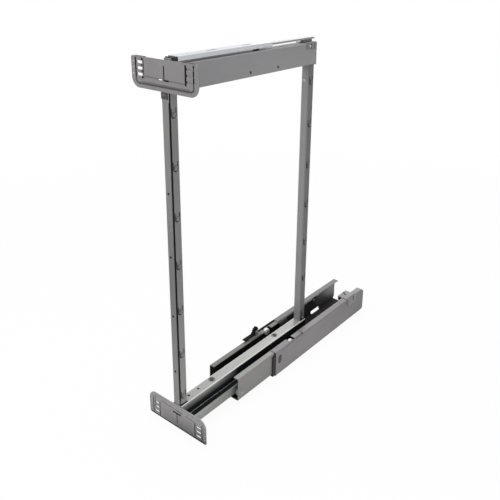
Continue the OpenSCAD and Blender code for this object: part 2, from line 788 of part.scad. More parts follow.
// Two pins through the side of the top box, which hold the guide's front spacer and the box stiffener
pin_places = [265.5, 376.3];
pin_z = box_low + 11;
module head_pins() {
    color([0.3, 0.3, 0.3]) for (y = pin_places) {
        rod_x(-box_width / 2 - 1.2, box_width / 2 + 1.2, front + y, pin_z, 2);
        for (side = [-1, 1])
            rod_x(side > 0 ? box_width / 2 : -box_width / 2 - 1.2, side > 0 ? box_width / 2 + 1.2 : -box_width / 2,
                front + y, pin_z, 3.2);
    }
}

// Top box: an inverted U over the posts
box_front = front + 1;
box_rear = frame_rear + 2;
box_bend = 1.5;
module top_box() {
    color([0.55, 0.55, 0.54]) difference() {
        along_y(box_front, box_rear - box_front) difference() {
            round_rect(box_width, box_low - 2 * bend_radius, frame_height, box_bend + box_sheet);
            round_rect(box_width - 2 * box_sheet, box_low - 3 * bend_radius, frame_height - box_sheet, box_bend);
            translate([-box_width, box_low - 4 * bend_radius]) square([2 * box_width, 4 * bend_radius]);
        }
        for (y = pin_places)
            rod_x(-box_width, box_width, front + y, pin_z, 2);
        // Notch in the rear edge of each wall, and the bracket's slots
        translate([-box_width, box_rear - 2, frame_height - 28]) cube([2 * box_width, 2 + cut, 3]);
        for (slot = bracket_slots)
            translate([-box_width, bracket_y + slot[0], frame_height - 15]) cube([2 * box_width, slot[1], 10]);
    }
}

// Black plug in the rear end of the top box, behind the rear post
module box_rear_cap() {
    width = box_width - 2 * box_sheet;
    low = box_low - 2.5;
    color([0.08, 0.08, 0.08]) translate([-width / 2, frame_rear, low])
        cube([width, box_rear - frame_rear + 1.2, frame_height - box_sheet - box_bend - low]);
}

// Outline of a stamped front plate in X and Z, its outer edge at Z = 0 and its round corners at Z = -plate_height
module plate_outline(inset) {
    half = plate_width / 2 - inset;
    large = corner_large - inset;
    small = corner_small;
    low = -plate_height + inset;
    high = -inset;
    translate([-half, low + large]) square([2 * half, high - low - large - small]);
    translate([-half + large, low]) square([2 * (half - large), large + cut]);
    translate([-half + small, high - small - cut]) square([2 * (half - small), small + cut]);
    for (side = [-1, 1]) {
        translate([side * (half - large), low + large]) circle(large);
        translate([side * (half - small), high - small]) circle(small);
    }
}

module front_plate() {
    difference() {
        along_y(0, plate_sheet) difference() {
            plate_outline(0);
            for (side = [-1, 1], row = [0 : slot_rows - 1]) {
                translate([side * slot_pitch_x / 2, -slot_edge - row * slot_pitch_z])
                    slot_outline(slot_length, slot_height);
                translate([side * comb_x, -slot_edge - row * slot_pitch_z]) circle(comb_radius);
            }
            for (side = [-1, 1]) {
                translate([side * bar_outer_x - bar_width / 2, -bar_length - 4]) square([bar_width, bar_length]);
                translate([side * bar_inner_x - bar_width / 2, -bar_length + 2]) square([bar_width, bar_length - 6]);
            }
            translate([-slit_width / 2, -slit_drop]) square([slit_width, slit_drop - 14]);
            translate([-slit_foot / 2, -slit_drop - slit_width]) square([slit_foot, 2 * slit_width]);
        }
        // Pressed rib that runs round the foot of the plate
        along_y(-cut, cut + 0.6) difference() {
            plate_outline(7);
            plate_outline(8.4);
            translate([-plate_width, -52]) square([2 * plate_width, 60]);
        }
    }
}

module top_front_plate() {
    color([0.53, 0.53, 0.52]) translate([0, plate_y, plate_top]) front_plate();
}
module bottom_front_plate() {
    color([0.55, 0.54, 0.52]) translate([0, plate_y, plate_lift]) rotate([0, 180, 0]) front_plate();
}
plate_top = frame_height + 11;

// Carrier behind a front plate; the top one has a tab that lies on the front post
tab_half = 10.5;
tab_drop = 22;
carrier_height = 50;
carrier_edge = 10;
module plate_carrier(tab) {
    difference() {
        along_y(0, carrier_sheet) union() {
            translate([-carrier_half, -carrier_edge - carrier_height]) square([2 * carrier_half, carrier_height]);
            translate([-tab_half, -plate_height - tab])
                square([2 * tab_half, tab + plate_height - carrier_edge - 1]);
        }
        for (x = [-1, 1])
            rod_y(-cut, carrier_sheet + cut, x * screw_half, -screw_drop, 2.5);
    }
}
screw_half = carrier_half - 8;
screw_drop = 49;
module top_plate_carrier() {
    color([0.4, 0.4, 0.4]) translate([0, carrier_y, plate_top]) plate_carrier(tab_drop);
}
module bottom_plate_carrier() {
    color([0.4, 0.4, 0.4]) translate([0, carrier_y, plate_lift]) rotate([0, 180, 0]) plate_carrier(0);
}

// Dark backing strips behind the slots of each plate, with a window behind every slot
backing_outer = bar_outer_x + 3.5;
backing_lip = 1;
backing_height = bar_length + 7;
module backing_pair() {
    for (side = [-1, 1])
        along_y(0, carrier_sheet) difference() {
            translate([side * (backing_inner + backing_outer) / 2 - (backing_outer - backing_inner) / 2,
                backing_lip - backing_height]) square([backing_outer - backing_inner, backing_height]);
            for (row = [0 : slot_rows - 1])
                translate([side * slot_pitch_x / 2, -slot_edge - row * slot_pitch_z])
                    slot_outline(slot_length + 1, slot_height + 1);
        }
}
module plate_backings() {
    color([0.08, 0.08, 0.08]) {
        translate([0, carrier_y, plate_top]) backing_pair();
        translate([0, carrier_y, plate_lift]) rotate([0, 180, 0]) backing_pair();
    }
}

// Screws that hold each carrier to its plate
module plate_screws() {
    color([0.3, 0.3, 0.3]) for (plate = [[plate_top, 0], [plate_lift, 180]], side = [-1, 1])
        translate([0, carrier_y, plate[0]]) rotate([0, plate[1], 0]) {
            rod_y(0, carrier_sheet + 1, side * screw_half, -screw_drop, 2.5);
            rod_y(carrier_sheet, carrier_sheet + 3, side * screw_half, -screw_drop, 4.5);
        }
}

// Inner rail of the top guide, with a ball groove in each edge
module slide_rail() {
    color([0.8, 0.8, 0.8]) along_y(slide_rail_front, slide_rail_length) difference() {
        translate([-slide_rail_width / 2, slide_rail_low]) square([slide_rail_width, slide_rail_height]);
        for (side = [-1, 1]) translate([side * ball_x, ball_z]) circle(ball_radius + 0.05);
    }
}

// Spacers between the top box and the inner rail
spacer_places = [16, 300];
module slide_rail_spacers() {
    color([0.2, 0.2, 0.2]) for (y = spacer_places)
        translate([-neck_half, front + y, frame_height]) cube([2 * neck_half, 14, slide_rail_low - frame_height]);
}

// Saddle bracket over the rear of the top box, which carries the end of the inner rail
bracket_length = 42;
bracket_slots = [[18, 4.5], [34, 3.5]];
bracket_sheet = 1.5;
bracket_y = frame_rear - 46;
module slide_rear_bracket() {
    half = box_width / 2;
    color([0.3, 0.3, 0.3]) difference() {
        along_y(bracket_y, bracket_length) union() {
            translate([-half - bracket_sheet, frame_height]) square([2 * (half + bracket_sheet), bracket_sheet]);
            for (side = [-1, 1])
                translate([side * (half + bracket_sheet / 2) - bracket_sheet / 2, frame_height - 17])
                    square([bracket_sheet, 17 + bracket_sheet]);
            translate([-neck_half, frame_height + bracket_sheet])
                square([2 * neck_half, slide_rail_low - frame_height - bracket_sheet]);
        }
        for (side = [-1, 1])
            rod_x(side > 0 ? half - cut : -half - bracket_sheet - cut, side > 0 ? half + bracket_sheet + cut
                : -half + cut, bracket_y + 13, frame_height - 9, 2);
        for (slot = bracket_slots)
            translate([-box_width, bracket_y + slot[0], frame_height - 15]) cube([2 * box_width, slot[1], 12]);
    }
}

module bracket_screws() {
    half = box_width / 2;
    color([0.75, 0.75, 0.75]) both_sides() {
        rod_x(half + 0.2, half + bracket_sheet, bracket_y + 13, frame_height - 9, 2);
        rod_x(half + bracket_sheet, half + bracket_sheet + 1.6, bracket_y + 13, frame_height - 9, 3.6);
    }
}

// Guide channel that the cabinet's top panel holds, open downwards
top_slot_places = [107, 231];
module guide_channel() {
    color([0.78, 0.79, 0.81]) difference() {
        along_y(guide_front, channel_length) difference() {
            round_rect(channel_width, guide_low, guide_top, 2);
            round_rect(channel_width - 2 * guide_sheet, guide_low + guide_sheet, guide_top - guide_sheet, 0.5);
            translate([-channel_width / 2 + channel_lip, guide_low - cut])
                square([channel_width - 2 * channel_lip, 2 * guide_sheet + cut]);
        }
        for (y = top_slot_places)
            translate([0, guide_front + y + 13, guide_top - guide_sheet - cut]) rotate([0, 0, 90])
                linear_extrude(guide_sheet + 2 * cut) slot_outline(32, guide_slot);
        for (y = guide_screw_places)
            rod_z(guide_top - guide_sheet - cut, guide_top + cut, 0, guide_front + y, guide_hole);
    }
}
guide_slot = 5;
guide_hole = 2.2;
guide_screw_places = [42, 298];

// Black cap on the front end of the guide channel
module guide_end_cap() {
    color([0.08, 0.08, 0.08]) difference() {
        along_y(guide_front - cap_length, cap_length) difference() {
            round_rect(channel_width - 4, guide_low + 0.5, guide_top - 1.4, 2);
            translate([-slide_rail_width / 2 - 1, guide_low - cut])
                square([slide_rail_width + 2, cut + slide_rail_low + slide_rail_height + 0.4 - guide_low]);
        }
        translate([-channel_width / 2, guide_front - cap_length + cap_recess, guide_top - 2.4])
            cube([channel_width, cap_length - 2 * cap_recess, 2]);
    }
}

// Ball cage between the channel and the inner rail, with its two rows of balls
cage_sheet = 0.8;
module ball_cage() {
    inner = slide_rail_width / 2 + 0.2;
    color([0.6, 0.6, 0.58]) both_sides() difference() {
        along_y(cage_front, cage_length) union() {
            translate([inner, slide_rail_low]) square([cage_sheet, slide_rail_height + 0.6]);
            translate([-0.01, slide_rail_low + slide_rail_height + 0.3]) square([inner + cage_sheet, 0.6]);
        }
        for (i = [0 : ball_count - 1])
            rod_x(inner - cut, inner + cage_sheet + cut, cage_front + 5 + i * ball_pitch, ball_z, ball_radius + 0.1);
    }
}

module guide_balls() {
    color([0.85, 0.85, 0.85]) both_sides() for (i = [0 : ball_count - 1])
        translate([ball_x, cage_front + 5 + i * ball_pitch, ball_z]) sphere(ball_radius);
}

cabinet_rail();
front_glide();
rail_clip();
rear_stop();
lever_bracket();
lever_pin();
release_lever();
middle_rail();
middle_roller_pins();
mid_roller_left();
mid_roller_right();
rear_roller_left();
rear_roller_right();
front_axle();
front_axle_bracket();
bracket_rivets();
front_roller_left();
front_roller_right();
side_guide_discs();
rear_floor_glide();
frame_rail();
rear_shoes();
frame_axle();
frame_axle_bracket();
frame_roller_left();
frame_roller_right();
rail_screws();
nut_plate();
front_post();
rear_post();
front_post_foot();
rear_post_foot();
foot_screws();
foot_bracket();
rear_post_bolt();
front_post_head();
rear_post_head();
head_pins();
top_box();
box_rear_cap();
bottom_front_plate();
top_front_plate();
bottom_plate_carrier();
top_plate_carrier();
plate_backings();
plate_screws();
slide_rail();
slide_rail_spacers();
slide_rear_bracket();
bracket_screws();
guide_channel();
guide_end_cap();
ball_cage();
guide_balls();
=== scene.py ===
"""Pull out pantry frame: the looks of its pieces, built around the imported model."""
import math

import bmesh
import bpy
from mathutils import Matrix, Vector


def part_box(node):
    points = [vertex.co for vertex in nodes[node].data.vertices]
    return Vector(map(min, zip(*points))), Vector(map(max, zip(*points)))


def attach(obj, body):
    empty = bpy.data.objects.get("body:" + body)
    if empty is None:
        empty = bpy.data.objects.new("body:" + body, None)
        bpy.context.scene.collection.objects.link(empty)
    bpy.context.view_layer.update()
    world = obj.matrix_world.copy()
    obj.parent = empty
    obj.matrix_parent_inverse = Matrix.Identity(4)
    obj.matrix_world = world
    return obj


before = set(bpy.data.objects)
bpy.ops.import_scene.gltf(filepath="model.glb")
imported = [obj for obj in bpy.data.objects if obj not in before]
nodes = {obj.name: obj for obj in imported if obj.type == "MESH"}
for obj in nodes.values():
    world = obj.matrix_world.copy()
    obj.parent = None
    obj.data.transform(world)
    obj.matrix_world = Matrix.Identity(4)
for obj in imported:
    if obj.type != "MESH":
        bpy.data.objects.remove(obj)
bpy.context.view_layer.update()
MM = 0.001


# Cabinet rail
# The fixed rail is bent from 2 mm galvanised sheet and screwed to the cabinet's floor.
# Its inside is painted darker than its outside, as painted shade that fades off the walls towards the rear
# and the top.
def link(tree, source, target):
    """Join two sockets of a node tree."""
    tree.links.new(source, target)


def new_group(name, inputs, outputs):
    """An empty shader node group with named sockets."""
    group = bpy.data.node_groups.new(name, "ShaderNodeTree")
    for label, kind, value in inputs:
        socket = group.interface.new_socket(name=label, in_out="INPUT", socket_type=kind)
        socket.default_value = value
    for label, kind in outputs:
        group.interface.new_socket(name=label, in_out="OUTPUT", socket_type=kind)
    return group, group.nodes.new("NodeGroupInput"), group.nodes.new("NodeGroupOutput")


def math_node(tree, operation, first, second=None, clamp=False):
    """A Math node whose inputs are sockets or plain numbers."""
    node = tree.nodes.new("ShaderNodeMath")
    node.operation = operation
    node.use_clamp = clamp
    for index, value in enumerate((first, second)):
        if value is None:
            continue
        if isinstance(value, (int, float)):
            node.inputs[index].default_value = value
        else:
            link(tree, value, node.inputs[index])
    return node.outputs[0]


def noise_node(tree, scale, detail, vector):
    """A noise texture on the given coordinates."""
    node = tree.nodes.new("ShaderNodeTexNoise")
    node.inputs["Scale"].default_value = scale
    node.inputs["Detail"].default_value = detail
    link(tree, vector, node.inputs["Vector"])
    return node.outputs["Fac"]


def stretched(tree, scale):
    """Object coordinates stretched along one axis, for grain that runs that way."""
    coordinates = tree.nodes.new("ShaderNodeTexCoord")
    mapping = tree.nodes.new("ShaderNodeMapping")
    mapping.inputs["Scale"].default_value = scale
    link(tree, coordinates.outputs["Object"], mapping.inputs["Vector"])
    return mapping.outputs["Vector"]


def spread(tree, value, low, high, new_low, new_high):
    """Map a value from one range to another, clamped."""
    node = tree.nodes.new("ShaderNodeMapRange")
    node.inputs["From Min"].default_value = low
    node.inputs["From Max"].default_value = high
    node.inputs["To Min"].default_value = new_low
    node.inputs["To Max"].default_value = new_high
    link(tree, value, node.inputs["Value"])
    return node.outputs["Result"]


def mix_colour(tree, factor, first, second, blend="MIX"):
    """Mix two colours, each a socket or a plain colour."""
    node = tree.nodes.new("ShaderNodeMix")
    node.data_type = "RGBA"
    node.blend_type = blend
    sockets = [s for s in node.inputs if s.type == "RGBA"]
    for socket, value in zip(sockets, (first, second)):
        if isinstance(value, (tuple, list)):
            socket.default_value = (*value[:3], 1)
        else:
            link(tree, value, socket)
    if isinstance(factor, (int, float)):
        node.inputs["Factor"].default_value = factor
    else:
        link(tree, factor, node.inputs["Factor"])
    return [s for s in node.outputs if s.type == "RGBA"][0]


def edge_wear_group():
    """Softened edges of a pressed part, and a mask of the bright rubbed line along them."""
    group, entry, leave = new_group(
        "edge_wear",
        [("Radius", "NodeSocketFloat", 0.6 * MM), ("Amount", "NodeSocketFloat", 0.5)],
        [("Mask", "NodeSocketFloat"), ("Normal", "NodeSocketVector")],
    )
    bevel = group.nodes.new("ShaderNodeBevel")
    bevel.samples = 4
    link(group, entry.outputs["Radius"], bevel.inputs["Radius"])
    surface = group.nodes.new("ShaderNodeNewGeometry")
    dot = group.nodes.new("ShaderNodeVectorMath")
    dot.operation = "DOT_PRODUCT"
    link(group, bevel.outputs["Normal"], dot.inputs[0])
    link(group, surface.outputs["True Normal"], dot.inputs[1])
    turned = math_node(group, "SUBTRACT", 1.0, dot.outputs["Value"])
    brightened = spread(group, turned, 0.02, 0.2, 0.0, 1.0)
    patches = noise_node(group, 60.0, 3.0, stretched(group, (1, 1, 1)))
    patchy = math_node(group, "MULTIPLY", brightened, spread(group, patches, 0.35, 0.65, 0.3, 1.0))
    link(group, math_node(group, "MULTIPLY", patchy, entry.outputs["Amount"]), leave.inputs["Mask"])
    link(group, bevel.outputs["Normal"], leave.inputs["Normal"])
    return group


def rolled_sheet_group():
    """Cloudy tone and fine rolling lines of sheet steel, with a matching height for bump."""
    group, entry, leave = new_group(
        "rolled_sheet",
        [("Cloud size", "NodeSocketFloat", 14.0), ("Line size", "NodeSocketFloat", 1400.0)],
        [("Tone", "NodeSocketFloat"), ("Height", "NodeSocketFloat")],
    )
    cloud = group.nodes.new("ShaderNodeTexNoise")
    cloud.inputs["Detail"].default_value = 4.0
    link(group, stretched(group, (1, 0.4, 1)), cloud.inputs["Vector"])
    link(group, entry.outputs["Cloud size"], cloud.inputs["Scale"])
    lines = group.nodes.new("ShaderNodeTexNoise")
    lines.inputs["Detail"].default_value = 2.0
    link(group, stretched(group, (1, 0.02, 1)), lines.inputs["Vector"])
    link(group, entry.outputs["Line size"], lines.inputs["Scale"])
    grain = noise_node(group, 2600.0, 1.0, stretched(group, (1, 1, 1)))
    soft = spread(group, cloud.outputs["Fac"], 0.3, 0.7, -0.5, 0.5)
    fine = spread(group, lines.outputs["Fac"], 0.3, 0.7, -0.2, 0.2)
    link(group, math_node(group, "ADD", soft, fine), leave.inputs["Tone"])
    link(group, math_node(group, "ADD", grain, lines.outputs["Fac"]), leave.inputs["Height"])
    return group


edge_wear = edge_wear_group()
rolled_sheet = rolled_sheet_group()


def place(tree, group, values):
    """Put a node group in a material with its own values."""
    node = tree.nodes.new("ShaderNodeGroup")
    node.node_tree = group
    for label, value in values.items():
        node.inputs[label].default_value = value
    return node


dull_roughness = 0.9
relief_depth = 0.1 * MM
tone_low = -0.6
tone_high = 0.6
rough_swing = 0.06


def steel(name, colour, metallic, roughness, contrast, worn, bump=0.15, shade=None, gloss=0.5):
    """A sheet steel finish: cloudy colour, rolling lines, softened edges with a rubbed bright line.

    shade is a function that takes the tree and gives masks of other places, each with its colour and
    how dull the place is."""
    material = bpy.data.materials.new(name)
    material.use_nodes = True
    tree = material.node_tree
    shader = tree.nodes["Principled BSDF"]
    sheet = place(tree, rolled_sheet, {})
    edge = place(tree, edge_wear, {"Amount": worn})
    dark = tuple(c * (1 - contrast) for c in colour)
    light = tuple(min(1, c * (1 + contrast)) for c in colour)
    tone = spread(tree, sheet.outputs["Tone"], tone_low, tone_high, 0.0, 1.0)
    body = mix_colour(tree, tone, dark, light)
    dull = 0.0
    for mask, shade_colour, share in shade(tree) if shade else ():
        body = mix_colour(tree, mask, body, shade_colour)
        dull = math_node(tree, "MAXIMUM", math_node(tree, "MULTIPLY", mask, share), dull)
    brightened = tuple(min(1, c * 1.9 + 0.08) for c in colour)
    link(tree, mix_colour(tree, edge.outputs["Mask"], body, brightened), shader.inputs["Base Color"])
    shader.inputs["Metallic"].default_value = metallic
    shader.inputs["Specular IOR Level"].default_value = gloss
    rough = spread(tree, sheet.outputs["Tone"], tone_low, tone_high, roughness + rough_swing,
                   roughness - rough_swing)
    if shade:
        link(tree, spread(tree, dull, 0.0, 1.0, metallic, 0.0), shader.inputs["Metallic"])
        rough = math_node(tree, "MAXIMUM", rough, math_node(tree, "MULTIPLY", dull, dull_roughness))
    link(tree, rough, shader.inputs["Roughness"])
    relief = tree.nodes.new("ShaderNodeBump")
    relief.inputs["Strength"].default_value = bump
    relief.inputs["Distance"].default_value = relief_depth
    link(tree, sheet.outputs["Height"], relief.inputs["Height"])
    link(tree, edge.outputs["Normal"], relief.inputs["Normal"])
    link(tree, relief.outputs["Normal"], shader.inputs["Normal"])
    return material


def finish_node(name, material):
    """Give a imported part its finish."""
    mesh = nodes[name].data
    mesh.materials.clear()
    mesh.materials.append(material)


def object_axes(tree):
    """The three object coordinates as separate sockets."""
    coordinates = tree.nodes.new("ShaderNodeTexCoord")
    axes = tree.nodes.new("ShaderNodeSeparateXYZ")
    link(tree, coordinates.outputs["Object"], axes.inputs["Vector"])
    return axes.outputs


def product(tree, first, *others):
    """Several factors multiplied."""
    for other in others:
        first = math_node(tree, "MULTIPLY", first, other)
    return first


def inside_trough(half_width, floor, ceiling, colour, shade_fade=None):
    """A mask of painted shade inside a trough: between its walls, above its floor and under its flanges.

    shade_fade is a stretch of Y and a stretch of Z over which the painted shade fades off the walls."""
    def shade(tree):
        axes = object_axes(tree)
        across = math_node(tree, "ABSOLUTE", axes["X"])
        mask = product(
            tree,
            math_node(tree, "LESS_THAN", across, half_width),
            math_node(tree, "GREATER_THAN", axes["Z"], floor),
            math_node(tree, "LESS_THAN", axes["Z"], ceiling),
        )
        if shade_fade:
            along, upwards = shade_fade
            unshaded = product(tree, spread(tree, axes["Y"], *along, 0.0, 1.0),
                            spread(tree, axes["Z"], *upwards, 0.0, 1.0))
            mask = product(tree, mask, math_node(tree, "SUBTRACT", 1.0, unshaded))
        return [(mask, colour, 1.0)]
    return shade


def within(tree, value, low, high):
    """1 where a value lies between two numbers."""
    above = math_node(tree, "GREATER_THAN", value, low)
    return product(tree, above, math_node(tree, "LESS_THAN", value, high))


cabinet_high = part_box("cabinet_rail")[1]
sheet_thickness = 2 * MM
skin = 0.2 * MM
top_layer = 1 * MM
oval_floor = cabinet_high.x - 0.8 * MM
left_flange_edge = -38 * MM
rear_shade_stretch = (60 * MM, 240 * MM)
shade_fade_along = (80 * MM, 240 * MM)
shade_fade_upwards = (4 * MM, 50 * MM)
cabinet_shade_black = (0.02, 0.02, 0.02)
# Painted shade inside the cabinet rail, fading off its walls towards the rear and upwards.
cabinet_inside_shade = inside_trough(
    cabinet_high.x - sheet_thickness + skin, sheet_thickness - skin,
    cabinet_high.z - sheet_thickness + 2 * skin, cabinet_shade_black, shade_fade=(shade_fade_along, shade_fade_upwards))


def cabinet_places(tree):
    """Painted shade on the inside, on the floor of the pressed oval, on the left flange and towards the rear
    of the outer wall.
    """
    axes = object_axes(tree)
    oval = within(tree, axes["X"], oval_floor - skin, oval_floor + skin)
    left_flange = product(tree, math_node(tree, "LESS_THAN", axes["X"], left_flange_edge),
                          math_node(tree, "GREATER_THAN", axes["Z"], cabinet_high.z - top_layer))
    rear_end = product(tree, math_node(tree, "GREATER_THAN", axes["X"], cabinet_high.x - skin),
                       spread(tree, axes["Y"], *rear_shade_stretch, 0.0, 1.0))
    return [(left_flange, (0.155, 0.148, 0.152), 0.2), (rear_end, (0.15, 0.142, 0.148), 0.2),
            *cabinet_inside_shade(tree), (oval, (0.06, 0.06, 0.06), 0.7)]


finish_node("cabinet_rail", steel("cabinet_rail_zinc", (0.213, 0.2, 0.209), metallic=0.25, roughness=0.42,
                                  contrast=0.12, worn=0.5, shade=cabinet_places))


# Glide liner, shoes and stop
# These are moulded from black plastic and rubber, with a fine matt grain.
# The liner fills the gap between the two rails at the mouth of the cabinet rail.
def moulded(name, colour, roughness, grain=900.0, sheen=0.3):
    """A moulded plastic finish with a fine grain and a soft gloss."""
    material = bpy.data.materials.new(name)
    material.use_nodes = True
    tree = material.node_tree
    shader = tree.nodes["Principled BSDF"]
    where = stretched(tree, (1, 1, 1))
    cloud = noise_node(tree, 45.0, 3.0, where)
    pale = tuple(min(1, c * 1.25 + 0.006) for c in colour)
    link(tree, mix_colour(tree, spread(tree, cloud, 0.35, 0.65, 0.0, 1.0), colour, pale),
         shader.inputs["Base Color"])
    rough = spread(tree, cloud, 0.3, 0.7, roughness + 0.05, roughness - 0.05)
    link(tree, rough, shader.inputs["Roughness"])
    shader.inputs["Specular IOR Level"].default_value = sheen
    edge = place(tree, edge_wear, {"Amount": 0.0})
    relief = tree.nodes.new("ShaderNodeBump")
    relief.inputs["Strength"].default_value = 0.2
    relief.inputs["Distance"].default_value = relief_depth
    link(tree, noise_node(tree, grain, 2.0, where), relief.inputs["Height"])
    link(tree, edge.outputs["Normal"], relief.inputs["Normal"])
    link(tree, relief.outputs["Normal"], shader.inputs["Normal"])
    return material


black_plastic = moulded("black_plastic", (0.012, 0.012, 0.012), roughness=0.45)
for name in ("front_glide", "rear_floor_glide", "rear_shoes"):
    finish_node(name, black_plastic)
finish_node("rear_stop", moulded("stop_rubber", (0.02, 0.02, 0.02), roughness=0.7, grain=500.0))


# Saddle clip
# A zinc plated sheet clip, bent over the right flange and wall of the cabinet rail.
# It has two round holes on top and a slot in its side, and a black plug fills its mouth.
clip_low, clip_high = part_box("rail_clip")
fold_inner = clip_high.x - 7 * MM
fold_outer = clip_high.x - 2.4 * MM


def clip_places(tree):
    """Painted shade in the fold along the top of the clip."""
    axes = object_axes(tree)
    fold = within(tree, axes["X"], fold_inner, fold_outer)
    top = math_node(tree, "GREATER_THAN", axes["Z"], clip_high.z - top_layer)
    return [(product(tree, fold, top), (0.1, 0.1, 0.096), 0.5)]


finish_node("rail_clip", steel("clip_zinc", (0.21, 0.21, 0.204), metallic=0.3, roughness=0.4, contrast=0.12,
                               worn=0.5, shade=clip_places))


def loose_faces(vertices, faces):
    """Corners and faces, ready to be worked on."""
    rough = bpy.data.meshes.new("rough")
    rough.from_pydata(vertices, [], faces)
    shaped = bmesh.new()
    shaped.from_mesh(rough)
    bpy.data.meshes.remove(rough)
    return shaped


def made_piece(name, shaped, material):
    """Turn worked faces outwards and make them a piece with one finish."""
    bmesh.ops.recalc_face_normals(shaped, faces=shaped.faces)
    mesh = bpy.data.meshes.new(name)
    shaped.to_mesh(mesh)
    shaped.free()
    mesh.materials.append(material)
    piece = bpy.data.objects.new(name, mesh)
    bpy.context.scene.collection.objects.link(piece)
    return piece


def solid(name, low_corner, high_corner, material, body, rounding):
    """A closed block with rounded edges between two corners in mm."""
    shaped = bmesh.new()
    bmesh.ops.create_cube(shaped, size=1.0)
    for vertex in shaped.verts:
        share = vertex.co + Vector((0.5, 0.5, 0.5))
        vertex.co = [(a + (b - a) * s) * MM for a, b, s in zip(low_corner, high_corner, share)]
    bmesh.ops.bevel(shaped, geom=shaped.edges[:], offset=rounding * MM, segments=3, profile=0.5,
                    affect="EDGES")
    piece = made_piece(name, shaped, material)
    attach(piece, body)
    return piece


def round_piece(name, centre, axis, material, body, radius, height, inner=0.0, sides=28):
    """A low round disc, or a ring round a screw, standing on its centre along an axis, in mm."""
    chamfer = height * 0.4
    wall = height - chamfer
    outline = [(inner, 0.0), (radius, 0.0), (radius, wall), (radius - chamfer, height), (inner, height)]
    vertices = []
    faces = []
    turned = Vector((0, 0, 1)).rotation_difference(Vector(axis)).to_matrix()
    for side in range(sides):
        angle = 2 * math.pi * side / sides
        for across, up in outline:
            at = Vector((across * math.cos(angle), across * math.sin(angle), up))
            vertices.append((turned @ at + Vector(centre)) * MM)
    count = len(outline)
    for side in range(sides):
        here = side * count
        after = (side + 1) % sides * count
        for corner in range(count):
            turn = (corner + 1) % count
            faces.append((here + corner, after + corner, after + turn, here + turn))
    shaped = loose_faces(vertices, faces)
    bmesh.ops.remove_doubles(shaped, verts=shaped.verts, dist=0.001 * MM)
    piece = made_piece(name, shaped, material)
    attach(piece, body)
    return piece


upwards_axis = (0, 0, 1)
clip_left = clip_low.x / MM
clip_front = clip_low.y / MM
clip_top = clip_high.z / MM
clip_sheet = 1.6
clip_under = clip_top - clip_sheet
wall_face = clip_high.x / MM - clip_sheet
clip_slot = (32, 37)
clip_slot_depth = (15, 2)
slot_shade = 0.7
clip_hole_places = ((5.5, 31), (13.5, 26))
clip_hole_z = clip_top - 0.6
plug_left = 20.6
plug_right = 28
plug_depth = 13
plug_length = (0.6, 17)
# A black strip behind the slot in the clip's side is painted shade.
solid("clip_slot_shade", (wall_face, clip_front + clip_slot[0], clip_under - clip_slot_depth[0]),
      (wall_face + slot_shade, clip_front + clip_slot[1], clip_under - clip_slot_depth[1]),
      black_plastic, "root", rounding=0.2)
solid("clip_plug", (plug_left, clip_front + plug_length[0], clip_under - plug_depth),
      (plug_right, clip_front + plug_length[1], clip_under), black_plastic, "root",
      rounding=1.6)
# A near black finish for painted shade in holes, seams, slits and gaps.
shade_black = moulded("painted_shade_black", (0.003, 0.003, 0.003), roughness=0.8, sheen=0.05)
# Black discs on the clip's two holes are painted shade.
for index, (across, along) in enumerate(clip_hole_places):
    round_piece(f"clip_hole_shade_{index}", (clip_left + across, clip_front + along, clip_hole_z),
                upwards_axis, shade_black, "root", radius=4.0, height=0.8)


# Release lever
# A black moulded lever turns on a steel pin in a small bracket on the left flange.
# Its head is toothed for the thumb. The bracket is bent from plain zinc plated sheet.
lever_black = moulded("lever_plastic", (0.004, 0.004, 0.004), roughness=0.6, sheen=0.1)
finish_node("release_lever", lever_black)
finish_node("lever_bracket", steel("bracket_zinc", (0.2, 0.2, 0.2), metallic=0.35, roughness=0.4,
                                   contrast=0.12, worn=0.5))
bright_steel = steel("bright_steel", (0.55, 0.55, 0.55), metallic=0.7, roughness=0.3, contrast=0.08,
                     worn=0.2)
finish_node("lever_pin", bright_steel)
lever_low, lever_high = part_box("release_lever")
pin_low, pin_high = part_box("lever_pin")
head_teeth = 9
head_steps = 4 * head_teeth
tooth_tip = 11.2
tooth_root = 8.0
head_width = 8
head_rise = 4.2
head_left = (lever_low.x + lever_high.x) / 2 / MM - head_width / 2
head_y = (pin_low.y + pin_high.y) / 2 / MM
head_z = (pin_low.z + pin_high.z) / 2 / MM + head_rise
shaped = bmesh.new()
ring = []
for step in range(head_steps):
    reach = tooth_tip if step % 4 in (0, 1) else tooth_root
    turn = 2 * math.pi * (step + 0.5) / head_steps
    corner = Vector((head_left, head_y + reach * math.cos(turn), head_z + reach * math.sin(turn)))
    ring.append(shaped.verts.new(corner * MM))
flat_face = shaped.faces.new(ring)
drawn = bmesh.ops.extrude_face_region(shaped, geom=[flat_face])
moved = [v for v in drawn["geom"] if isinstance(v, bmesh.types.BMVert)]
bmesh.ops.translate(shaped, verts=moved, vec=(head_width * MM, 0, 0))
lever_head = made_piece("lever_head", shaped, lever_black)
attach(lever_head, "lever")


# Middle rail
# It is bent from the same sheet as the cabinet rail, runs in it and carries the frame.
# The inside between its flanges is painted nearly black, as painted shade.
middle_low, middle_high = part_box("middle_rail")
middle_shade_black = (0.006, 0.006, 0.006)
middle_inside_shade = inside_trough(
    middle_high.x - sheet_thickness + skin, middle_low.z + sheet_thickness - skin,
    middle_high.z - sheet_thickness + 2 * skin, middle_shade_black)


def middle_places(tree):
    """Painted shade inside and on the left flange, and painted light on the right flange."""
    axes = object_axes(tree)
    top = math_node(tree, "GREATER_THAN", axes["Z"], middle_high.z - top_layer)
    left = product(tree, top, math_node(tree, "LESS_THAN", axes["X"], 0.0))
    right = product(tree, top, math_node(tree, "GREATER_THAN", axes["X"], 0.0))
    return [(left, (0.165, 0.163, 0.16), 0.2), (right, (0.275, 0.272, 0.268), 0.0), *middle_inside_shade(tree)]


